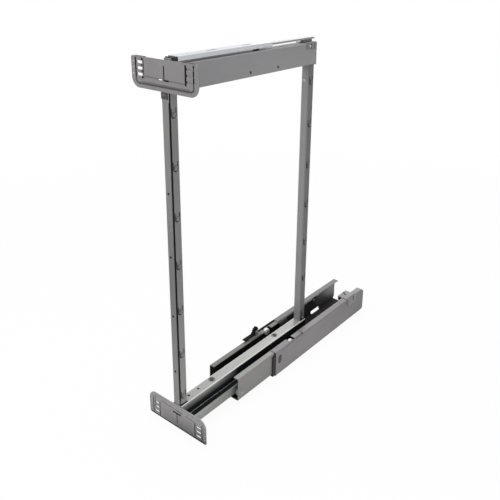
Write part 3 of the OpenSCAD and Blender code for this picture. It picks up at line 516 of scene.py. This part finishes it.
finish_node("middle_rail", steel("middle_rail_zinc", (0.225, 0.222, 0.218), metallic=0.25, roughness=0.42,
                                 contrast=0.1, worn=0.5, shade=middle_places))
for name in ("middle_roller_pins", "front_axle", "frame_axle", "bracket_rivets"):
    finish_node(name, bright_steel)
finish_node("front_axle_bracket", steel("dull_zinc", (0.18, 0.18, 0.18), metallic=0.35, roughness=0.45,
                                        contrast=0.12, worn=0.4))


# Rollers and side discs
# The rollers are turned from white nylon; the rear pair is black.
# The discs at the mouth of the middle rail keep the frame in its middle.
white_nylon = moulded("white_nylon", (0.72, 0.72, 0.70), roughness=0.35, grain=700.0, sheen=0.5)
for name in ("mid_roller_left", "mid_roller_right", "front_roller_left", "front_roller_right",
             "frame_roller_left", "frame_roller_right"):
    finish_node(name, white_nylon)
finish_node("side_guide_discs", moulded("grey_nylon", (0.38, 0.38, 0.37), roughness=0.4, grain=700.0,
                                        sheen=0.4))
for name in ("rear_roller_left", "rear_roller_right"):
    finish_node(name, black_plastic)


# Bottom rail of the frame
# A rolled hat profile with bright zinc on its top and lips. A dark reflection is painted on its flanks, and a
# highlight is painted along the edges of its top and the bends below its flanks. It carries both posts and
# runs on rollers inside the middle rail. Two holes and two ringed screws are in its top.
rail_low, rail_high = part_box("frame_rail")
rail_front_y = rail_low.y / MM
rail_top_z = rail_high.z / MM
flank_fade = (58 * MM, 77.5 * MM)
flank_top = 78.2 * MM
flank_reach = 34 * MM
lit_stretch = (-440 * MM, -370 * MM)
lip_inner = 34.5 * MM
lip_top = 48 * MM
lip_dark_stretch = (-560 * MM, -420 * MM)
edge_inner = 12.6 * MM
edge_low = 78.4 * MM


def dark_flanks(tree):
    """Painted dark reflection on the flanks, lips darker and duller to the rear, painted highlight on the
    top's edges.
    """
    axes = object_axes(tree)
    outwards = math_node(tree, "ABSOLUTE", axes["X"])
    height = spread(tree, axes["Z"], *flank_fade, 1.0, 0.3)
    behind = spread(tree, axes["Y"], *lit_stretch, 0.0, 1.0)
    flanks = product(tree, math_node(tree, "MAXIMUM", height, behind),
                     math_node(tree, "LESS_THAN", axes["Z"], flank_top),
                     math_node(tree, "LESS_THAN", outwards, flank_reach))
    lips = product(tree, math_node(tree, "GREATER_THAN", outwards, lip_inner),
                   math_node(tree, "LESS_THAN", axes["Z"], lip_top),
                   spread(tree, axes["Y"], *lip_dark_stretch, 0.35, 1.0))
    edge = product(tree, math_node(tree, "GREATER_THAN", outwards, edge_inner),
                   math_node(tree, "GREATER_THAN", axes["Z"], edge_low))
    return [(lips, (0.215, 0.215, 0.211), 0.3), (edge, (0.62, 0.62, 0.61), 0.0),
            (flanks, (0.006, 0.007, 0.008), 1.0)]


finish_node("frame_rail", steel("frame_rail_zinc", (0.38, 0.38, 0.375), metallic=0.45, roughness=0.33,
                                contrast=0.12, worn=0.6, shade=dark_flanks, gloss=0.12))
dark_steel = steel("dark_steel", (0.03, 0.033, 0.033), metallic=0.3, roughness=0.4, contrast=0.2, worn=0.2)
finish_node("frame_axle_bracket", steel("axle_bracket_zinc", (0.18, 0.18, 0.18), metallic=0.35,
                                        roughness=0.45, contrast=0.12, worn=0.4))
finish_node("nut_plate", steel("nut_zinc", (0.2, 0.2, 0.2), metallic=0.35, roughness=0.45, contrast=0.12,
                               worn=0.4))
finish_node("rail_screws", dark_steel)
# Bright strips along the bends below the flanks are a painted highlight.
highlight_front = rail_front_y + 2
highlight_rear = rail_front_y + 300
highlight_low = rail_top_z - 33
highlight_high = highlight_low + 0.5
highlight_inner = 19.2
highlight_outer = 20.4
bend_highlight_steel = steel("bend_highlight", (0.5, 0.5, 0.5), metallic=0.4, roughness=0.35, contrast=0.05, worn=0.0)
solid("flank_bend_highlight_right", (highlight_inner, highlight_front, highlight_low), (highlight_outer, highlight_rear, highlight_high),
      bend_highlight_steel, "frame", rounding=0.15)
solid("flank_bend_highlight_left", (-highlight_outer, highlight_front, highlight_low), (-highlight_inner, highlight_rear, highlight_high),
      bend_highlight_steel, "frame", rounding=0.15)
hole_line_x = -3
rail_hole_places = (44, 79.6)
rail_hole_z = rail_top_z - 1.2
# Black discs on the two holes in the rail's top are painted shade.
for index, along in enumerate(rail_hole_places):
    round_piece(f"rail_hole_shade_{index}", (hole_line_x, rail_front_y + along, rail_hole_z), upwards_axis,
                shade_black, "frame", radius=3.4, height=1.1)
ring_steel = steel("ring_steel", (0.1, 0.11, 0.105), metallic=0.3, roughness=0.4, contrast=0.2, worn=0.2)
ring_line_x = -2
ring_places = (131.6, 411)
for index, along in enumerate(ring_places):
    round_piece(f"screw_washer_{index}", (ring_line_x, rail_front_y + along, rail_top_z), upwards_axis,
                ring_steel, "frame", radius=9.5, height=0.6, inner=7.4)


# Posts
# Two square tubes rolled from sheet, painted grey, with seven lanced hooks on each side for baskets.
# Their feet are screwed to the bottom rail and their heads sit in the top box. The front one has a seam up
# its front and four holes. Black strips in the seam and the hook slits, black discs on the holes and a black
# block at the front foot are painted shade, as are the insides of the tubes.
side_face = 11.3 * MM
tube_inside = 9.7 * MM
lit_foot_stretch = (120 * MM, 420 * MM)
darker_middle = 420 * MM
darker_reach = (60 * MM, 260 * MM)


def inside_tube(tree, name):
    """A mask of the unlit inside of a post's tube."""
    axes = object_axes(tree)
    low_corner, high_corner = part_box(name)
    middle = (low_corner.y + high_corner.y) / 2
    across = math_node(tree, "LESS_THAN", math_node(tree, "ABSOLUTE", axes["X"]), tube_inside)
    along = math_node(tree, "ABSOLUTE", math_node(tree, "SUBTRACT", axes["Y"], middle))
    mask = product(tree, across, math_node(tree, "LESS_THAN", along, tube_inside))
    return mask, (0.004, 0.004, 0.004), 1.0


def front_post_light_and_tone(tree):
    """Painted light on the front post's side near the foot; front darker half way up; painted shade inside.
    """
    axes = object_axes(tree)
    side = math_node(tree, "GREATER_THAN", axes["X"], side_face)
    brightened = product(tree, side, spread(tree, axes["Z"], *lit_foot_stretch, 1.0, 0.0))
    from_middle = math_node(tree, "ABSOLUTE", math_node(tree, "SUBTRACT", axes["Z"], darker_middle))
    dull = product(tree, math_node(tree, "LESS_THAN", axes["X"], side_face),
                   spread(tree, from_middle, *darker_reach, 1.0, 0.0))
    return [(brightened, (0.29, 0.286, 0.284), 0.0), (dull, (0.155, 0.152, 0.151), 0.0),
            inside_tube(tree, "front_post")]


def rear_post_shade(tree):
    """Painted shade on the rear post's side, darker than its front, and inside its tube."""
    side = math_node(tree, "GREATER_THAN", object_axes(tree)["X"], side_face)
    return [(side, (0.125, 0.123, 0.122), 0.1), inside_tube(tree, "rear_post")]


def post_paint(name, colour, shade=None):
    """The grey paint of the posts, their feet and their heads."""
    return steel(name, colour, metallic=0.1, roughness=0.45, contrast=0.05, worn=0.45, shade=shade)


post_grey = (0.212, 0.209, 0.208)
finish_node("front_post", post_paint("front_post_paint", post_grey, front_post_light_and_tone))
# The rear post's grey is a lighter copy of the same post paint, as painted light.
finish_node("rear_post", post_paint("rear_post_paint", (0.24, 0.237, 0.236), rear_post_shade))
frame_paint = post_paint("frame_paint", post_grey)
for name in ("front_post_foot", "rear_post_foot", "front_post_head", "rear_post_head"):
    finish_node(name, frame_paint)
post_low, post_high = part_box("front_post")
post_front = post_low.y / MM
post_foot = post_low.z / MM
post_head = post_high.z / MM
# A black strip in the notch of the front post's seam is painted shade.
solid("front_post_seam_shade", (7.6, post_front + 2.1, post_foot + 1), (11.3, post_front + 3.2, post_head - 1),
      shade_black, "frame", rounding=0.2)
# A black block along the front post's foot is painted shade.
solid("front_foot_shade", (-12.2, post_front + 0.1, post_foot), (13.2, post_front + 25, post_foot + 2.6),
      shade_black, "frame", rounding=0.6)


def swept_line_tree():
    """Geometry nodes that give the edges of a mesh a round section and a material."""
    tree = bpy.data.node_groups.new("swept_line", "GeometryNodeTree")
    tree.interface.new_socket(name="Line", in_out="INPUT", socket_type="NodeSocketGeometry")
    tree.interface.new_socket(name="Radius", in_out="INPUT", socket_type="NodeSocketFloat")
    tree.interface.new_socket(name="Finish", in_out="INPUT", socket_type="NodeSocketMaterial")
    tree.interface.new_socket(name="Piece", in_out="OUTPUT", socket_type="NodeSocketGeometry")
    entry = tree.nodes.new("NodeGroupInput")
    leave = tree.nodes.new("NodeGroupOutput")
    to_curve = tree.nodes.new("GeometryNodeMeshToCurve")
    section = tree.nodes.new("GeometryNodeCurvePrimitiveCircle")
    section.inputs["Resolution"].default_value = 8
    sweep = tree.nodes.new("GeometryNodeCurveToMesh")
    sweep.inputs["Fill Caps"].default_value = True
    realize = tree.nodes.new("GeometryNodeRealizeInstances")
    finish = tree.nodes.new("GeometryNodeSetMaterial")
    link(tree, entry.outputs["Line"], to_curve.inputs["Mesh"])
    link(tree, entry.outputs["Radius"], section.inputs["Radius"])
    link(tree, to_curve.outputs["Curve"], sweep.inputs["Curve"])
    link(tree, section.outputs["Curve"], sweep.inputs["Profile Curve"])
    link(tree, sweep.outputs["Mesh"], realize.inputs["Geometry"])
    link(tree, realize.outputs["Geometry"], finish.inputs["Geometry"])
    link(tree, entry.outputs["Finish"], finish.inputs["Material"])
    link(tree, finish.outputs["Geometry"], leave.inputs["Piece"])
    return tree


swept_line = swept_line_tree()
hook_count = 7
hook_pitch = 123
top_hook_low = 835.5
hook_lows = [top_hook_low - hook_pitch * step for step in range(hook_count)]
slit_middle = 6.8
slit_turn = 8
slit_head = 23.0
slit_radius = 1.1
slit_face = 10.7
slit_steps = 10


def hook_slits(name, post):
    """Black lines in the U shaped slits round the hooks of a post, on both of its sides, as painted shade."""
    low_corner, high_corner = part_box(post)
    middle = (low_corner.y + high_corner.y) / 2 / MM
    curve = [math.radians(180 + 180 / slit_steps * step) for step in range(slit_steps + 1)]
    bow = [(slit_middle * math.cos(a), slit_turn + slit_middle * math.sin(a)) for a in curve]
    shape = [(-slit_middle, slit_head)] + bow + [(slit_middle, slit_head)]
    vertices = []
    edges = []
    for side in (-slit_face, slit_face):
        for hook_low in hook_lows:
            first = len(vertices)
            vertices += [(side * MM, (middle + along) * MM, (hook_low + height) * MM)
                         for along, height in shape]
            edges += [(first + step, first + step + 1) for step in range(len(shape) - 1)]
    path = bpy.data.meshes.new(name + "_path")
    path.from_pydata(vertices, edges, [])
    holder = bpy.data.objects.new(name + "_path", path)
    bpy.context.scene.collection.objects.link(holder)
    modifier = holder.modifiers.new("sweep", "NODES")
    modifier.node_group = swept_line
    sockets = {item.name: item.identifier for item in swept_line.interface.items_tree}
    modifier[sockets["Radius"]] = slit_radius * MM
    modifier[sockets["Finish"]] = shade_black
    evaluated = holder.evaluated_get(bpy.context.evaluated_depsgraph_get())
    mesh = bpy.data.meshes.new_from_object(evaluated)
    mesh.name = name
    bpy.data.objects.remove(holder)
    piece = bpy.data.objects.new(name, mesh)
    bpy.context.scene.collection.objects.link(piece)
    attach(piece, "frame")
    return piece


hook_slits("front_hook_slit_shade", "front_post")
hook_slits("rear_hook_slit_shade", "rear_post")
forwards_axis = (0, -1, 0)
lowest_post_hole = 179
post_hole_pitch = 160
post_hole_count = 4
# Black discs on the front post's four holes are painted shade.
for index in range(post_hole_count):
    height = lowest_post_hole + post_hole_pitch * index
    round_piece(f"post_hole_shade_{index}", (hole_line_x, post_front + 0.6, height), forwards_axis,
                shade_black, "frame", radius=3.2, height=0.8)
finish_node("foot_bracket", dark_steel)
finish_node("foot_screws", bright_steel)
finish_node("rear_post_bolt", bright_steel)


# Top box
# An inverted U of painted sheet that ties the heads of the posts together.
# A black plug closes its rear end and two pins go through its sides.
finish_node("top_box", steel("box_paint", (0.265, 0.263, 0.27), metallic=0.1, roughness=0.42, contrast=0.05,
                             worn=0.4))
finish_node("box_rear_cap", black_plastic)
finish_node("head_pins", dark_steel)


# Front plates
# Two stamped plates carry the cabinet's door; each has slots for the door's screws at both sides.
# Pressed lines and slits run over their fronts, black backings lie behind the slots, and a steel carrier
# ties each plate to the frame. The dark strips on the lines, slits and bars and the black backings are
# painted shade, and a white strip in the top plate's slit is painted light. A dark sheet clip sits under
# the top plate, on the post.
plate_paint = steel("plate_paint", (0.225, 0.217, 0.217), metallic=0.15, roughness=0.4, contrast=0.06,
                    worn=0.5)
for name in ("top_front_plate", "top_plate_carrier", "bottom_plate_carrier"):
    finish_node(name, plate_paint)
top_low, top_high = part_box("top_front_plate")
bottom_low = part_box("bottom_front_plate")[0]
foot_shade_height = 56 * MM
less_shaded_side = -70 * MM


def foot_shade(tree):
    """Painted shade on the lower plate, darker towards its foot and less so at its left end."""
    axes = object_axes(tree)
    foot = spread(tree, axes["Z"], bottom_low.z, bottom_low.z + foot_shade_height, 0.9, 0.0)
    middle = spread(tree, axes["X"], less_shaded_side, 0.0, 0.35, 1.0)
    return [(product(tree, foot, middle), (0.04, 0.038, 0.038), 0.4)]


# The lower plate's paint is a lighter copy of the plate paint, as painted light, with painted shade towards
# its foot.
finish_node("bottom_front_plate", steel("bottom_plate_paint", (0.285, 0.276, 0.276), metallic=0.15,
                                        roughness=0.4, contrast=0.06, worn=0.5, shade=foot_shade))


def arc(centre, radius, start, end, steps=6):
    """Points along an arc in X and Z, its angles in degrees."""
    angles = [math.radians(start + (end - start) * step / steps) for step in range(steps + 1)]
    return [(centre[0] + radius * math.cos(a), centre[1] + radius * math.sin(a)) for a in angles]


def pressed_line(name, runs, plate, material, half_width, stand=0.3):
    """A low pressed line on a plate's front, along runs of points in mm; its finish paints shade or light.

    plate gives the Y of its front, the Z of its outer edge, and 1, or -1 where it is mounted upside down.
    The points are counted across and up from the middle of that edge."""
    front, origin, upwards = plate
    profile = ((-1.0, 0.4), (-0.5, -stand), (0.5, -stand), (1.0, 0.4))
    count = len(profile)
    vertices = []
    faces = []
    for run in runs:
        points = [Vector((upwards * x, upwards * z)) for x, z in run]
        first = len(vertices)
        for index, point in enumerate(points):
            ahead = points[min(index + 1, len(points) - 1)]
            along = (ahead - points[max(index - 1, 0)]).normalized()
            side = Vector((along.y, -along.x))
            for across, depth in profile:
                at = point + side * across * half_width
                vertices.append((at.x * MM, front + depth * MM, origin + at.y * MM))
        for index in range(len(points) - 1):
            for corner in range(count):
                here = first + index * count
                turn = (corner + 1) % count
                faces.append((here + corner, here + turn, here + count + turn, here + count + corner))
        last = first + (len(points) - 1) * count
        faces.append(tuple(first + corner for corner in range(count)))
        faces.append(tuple(last + corner for corner in reversed(range(count))))
    piece = made_piece(name, loose_faces(vertices, faces), material)
    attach(piece, "frame")
    return piece


top_plate = (top_low.y, top_high.z, 1)
bottom_plate = (bottom_low.y, bottom_low.z, -1)
# On the plates, the dark finishes below paint the shade of grooves, slits and bars, and slit_white paints
# light seen through a slit.
groove_dark = steel("groove_dark", (0.04, 0.04, 0.04), metallic=0.1, roughness=0.5, contrast=0.1, worn=0.0)
groove_soft = steel("groove_soft", (0.12, 0.116, 0.116), metallic=0.1, roughness=0.45, contrast=0.1, worn=0.0)
slot_dark = moulded("slot_dark", (0.004, 0.004, 0.004), roughness=0.8, sheen=0.05)
slit_white = moulded("slit_white", (0.8, 0.8, 0.8), roughness=0.4, grain=700.0)
rim_half = 89
rim_corner = 9
rim_foot = -59
rim_head = -47
left_corner = arc((-rim_half + rim_corner, rim_foot + rim_corner), rim_corner, 180, 270)
right_corner = arc((rim_half - rim_corner, rim_foot + rim_corner), rim_corner, 270, 360)
rim = [(-rim_half, rim_head)] + left_corner + right_corner + [(rim_half, rim_head)]
pressed_line("top_plate_rim", [rim], top_plate, groove_dark, half_width=2.7, stand=0.35)
panel_foot = [[(-67, -41.5), (-19, -43)], [(-19, -43), (62, -44.5)]]
panel_bend = [[(-72, -54.5), (-10, -55.5), (76, -55.5)]]
pressed_line("top_plate_panel", panel_foot + panel_bend, top_plate, groove_soft, half_width=2.0)
rim_sides = [[(81, -22), (81, -62)], [(-96, -24), (-96, -50)]]
panel_edge = [[(60, -54), (11, -53.5)], [(-30, -51.5), (-55, -51), (-66, -48), (-69.5, -40)]]
pressed_line("bottom_plate_lines", rim_sides + panel_edge, bottom_plate, groove_soft, half_width=2.0)
pressed_line("bottom_plate_slit", [[(6, -54), (-20, -52)]], bottom_plate, groove_dark, half_width=2.0)
pressed_line("bottom_plate_hem", [[(-98, -2.4), (98, -2.4)]], bottom_plate, slot_dark, half_width=2.3)
slit_runs = [[(0, -13), (0, -43)], [(0.5, -44), (15.5, -44)]]
foot_slit = [[(-15.5, -44), (0.5, -44)]]
pressed_line("top_plate_slit", slit_runs, top_plate, slot_dark, half_width=2.3)
pressed_line("bottom_plate_foot_slit", slit_runs + foot_slit, bottom_plate, slot_dark, half_width=1.7)
# A white strip at the foot of the top plate's slit is painted light seen through it.
pressed_line("top_plate_slit_light", [[(-15.5, -43.6), (-5, -43.6)]], top_plate, slit_white, half_width=2.2,
             stand=0.4)
right_bar = [[(66, -5), (66, -48)]]
left_marks = [[(-69, z), (-69, z - 5)] for z in (-3, -16.5, -30, -43)]
pressed_line("top_plate_bars", right_bar + left_marks, top_plate, slot_dark, half_width=2.8)
rim_marks = [[(rim_half, z), (rim_half, z - length)] for z, length in ((-3, 5), (-16, 9), (-30, 10))]
left_rim = [[(-rim_half, -3), (-rim_half, rim_head)]]
pressed_line("top_plate_rim_marks", rim_marks + left_rim, top_plate, slot_dark, half_width=2.9)
plate_foot = top_low.z / MM
solid("head_clip", (-11.4, post_front - 3.2, plate_foot - 15), (8.5, post_front - 1.4, plate_foot - 0.4),
      groove_dark, "frame", rounding=0.7)
round_piece("head_clip_screw", (-2, post_front - 3.1, plate_foot - 6), forwards_axis, groove_soft, "frame",
            radius=3.4, height=1.0)
# The black backings behind the slots are painted shade.
finish_node("plate_backings", black_plastic)
finish_node("plate_screws", dark_steel)


# Top guide
# A ball bearing slide: the wide channel is held by the cabinet's top, the slim rail by the frame.
# Both are bright drawn steel; a black cap closes the channel's front end.
finish_node("guide_channel", steel("guide_steel", (0.54, 0.56, 0.58), metallic=0.65, roughness=0.28,
                                   contrast=0.06, worn=0.3))
finish_node("slide_rail", steel("slide_steel", (0.3, 0.3, 0.3), metallic=0.45, roughness=0.33, contrast=0.05,
                                worn=0.3))
for name in ("ball_cage", "guide_balls", "bracket_screws"):
    finish_node(name, bright_steel)
for name in ("guide_end_cap", "slide_rail_spacers"):
    finish_node(name, black_plastic)
finish_node("slide_rear_bracket", steel("rear_bracket_paint", (0.2, 0.2, 0.2), metallic=0.15, roughness=0.42,
                                        contrast=0.06, worn=0.4))


# Floor
# A plain pale floor, white to the camera and to reflections, with only a faint shadow on it. Away from
# the object it turns pure white, so that no horizon shows.
floor_size = 60.0
floor_drop = -1 * MM
floor_mesh = bpy.data.meshes.new("floor")
floor_corners = [(-floor_size, -floor_size, floor_drop), (floor_size, -floor_size, floor_drop),
                 (floor_size, floor_size, floor_drop), (-floor_size, floor_size, floor_drop)]
floor_mesh.from_pydata(floor_corners, [], [(0, 1, 2, 3)])
floor = bpy.data.objects.new("floor", floor_mesh)
bpy.context.scene.collection.objects.link(floor)


def seen_directly(tree):
    """1 where the camera sees a thing itself, in gloss or through glass."""
    path = tree.nodes.new("ShaderNodeLightPath")
    either = math_node(tree, "MAXIMUM", path.outputs["Is Camera Ray"], path.outputs["Is Glossy Ray"])
    return math_node(tree, "MAXIMUM", either, path.outputs["Is Transmission Ray"])


shadow_share = 0.06
shadow_reach = (0.8, 2.4)
floor_white = bpy.data.materials.new("floor_white")
floor_white.use_nodes = True
tree = floor_white.node_tree
shader = tree.nodes["Principled BSDF"]
shader.inputs["Base Color"].default_value = (0.8, 0.8, 0.8, 1)
shader.inputs["Roughness"].default_value = 1.0
shader.inputs["Specular IOR Level"].default_value = 0.0
glow = tree.nodes.new("ShaderNodeEmission")
glow.inputs["Color"].default_value = (1, 1, 1, 1)
both = tree.nodes.new("ShaderNodeMixShader")
from_middle = tree.nodes.new("ShaderNodeVectorMath")
from_middle.operation = "LENGTH"
link(tree, stretched(tree, (1, 1, 1)), from_middle.inputs[0])
glow_share = spread(tree, from_middle.outputs["Value"], *shadow_reach, 1 - shadow_share, 1.0)
link(tree, math_node(tree, "MULTIPLY", seen_directly(tree), glow_share), both.inputs["Fac"])
link(tree, shader.outputs["BSDF"], both.inputs[1])
link(tree, glow.outputs["Emission"], both.inputs[2])
link(tree, both.outputs["Shader"], tree.nodes["Material Output"].inputs["Surface"])
floor_mesh.materials.append(floor_white)


# Light
# An even pale sky with four large soft lamps: strong ones high at the front left and overhead, and weak
# ones at the right and the rear.
world = bpy.data.worlds.new("studio")
bpy.context.scene.world = world
world.use_nodes = True
tree = world.node_tree
sky = tree.nodes["Background"]
white = tree.nodes.new("ShaderNodeBackground")
white.inputs["Color"].default_value = (1, 1, 1, 1)
sky.inputs["Color"].default_value = (1, 1, 1, 1)
sky.inputs["Strength"].default_value = 0.5
both = tree.nodes.new("ShaderNodeMixShader")
link(tree, seen_directly(tree), both.inputs["Fac"])
link(tree, sky.outputs["Background"], both.inputs[1])
link(tree, white.outputs["Background"], both.inputs[2])
link(tree, both.outputs["Shader"], tree.nodes["World Output"].inputs["Surface"])


def lamp(name, place_at, aim, size, power):
    """A large soft lamp at a place, turned to a point."""
    data = bpy.data.lights.new(name, "AREA")
    data.shape = "SQUARE"
    data.size = size
    data.energy = power
    holder = bpy.data.objects.new(name, data)
    bpy.context.scene.collection.objects.link(holder)
    holder.location = place_at
    holder.rotation_euler = (Vector(aim) - Vector(place_at)).to_track_quat("-Z", "Y").to_euler()
    return holder


lamp("front_lamp", place_at=(-0.9, -2.2, 2.4), aim=(0, -0.2, 0.5), size=1.6, power=34)
lamp("right_lamp", place_at=(2.3, -0.6, 1.7), aim=(0, -0.1, 0.5), size=1.6, power=5)
lamp("rear_lamp", place_at=(-1.2, 2.4, 1.8), aim=(0, -0.1, 0.5), size=1.6, power=9)
lamp("top_lamp", place_at=(0.1, -0.3, 2.9), aim=(0, -0.2, 0.3), size=1.4, power=34)


# Camera
# It stands to the right of the front, high, and looks down on the frame as in the photograph.
frame_pixels = 500
focal_pixels = 635
centre_pixels = (260, 180)
camera_turn = 38.72
camera_dip = 19.49
camera_roll = 0.71
camera_data = bpy.data.cameras.new("camera")
camera = bpy.data.objects.new("camera", camera_data)
bpy.context.scene.collection.objects.link(camera)
camera_data.sensor_width = 36
camera_data.lens = focal_pixels / frame_pixels * camera_data.sensor_width
camera_data.shift_x = 0.5 - centre_pixels[0] / frame_pixels
camera_data.shift_y = centre_pixels[1] / frame_pixels - 0.5
camera_data.clip_end = 100
camera.location = (1.0051, -1.5146, 1.1743)
turned = Matrix.Rotation(math.radians(camera_turn), 3, "Z")
tipped = Matrix.Rotation(math.radians(90 - camera_dip), 3, "X")
rolled = Matrix.Rotation(math.radians(camera_roll), 3, "Z")
camera.rotation_euler = (turned @ tipped @ rolled).to_euler()
bpy.context.scene.camera = camera
bpy.context.scene.view_settings.view_transform = "Standard"
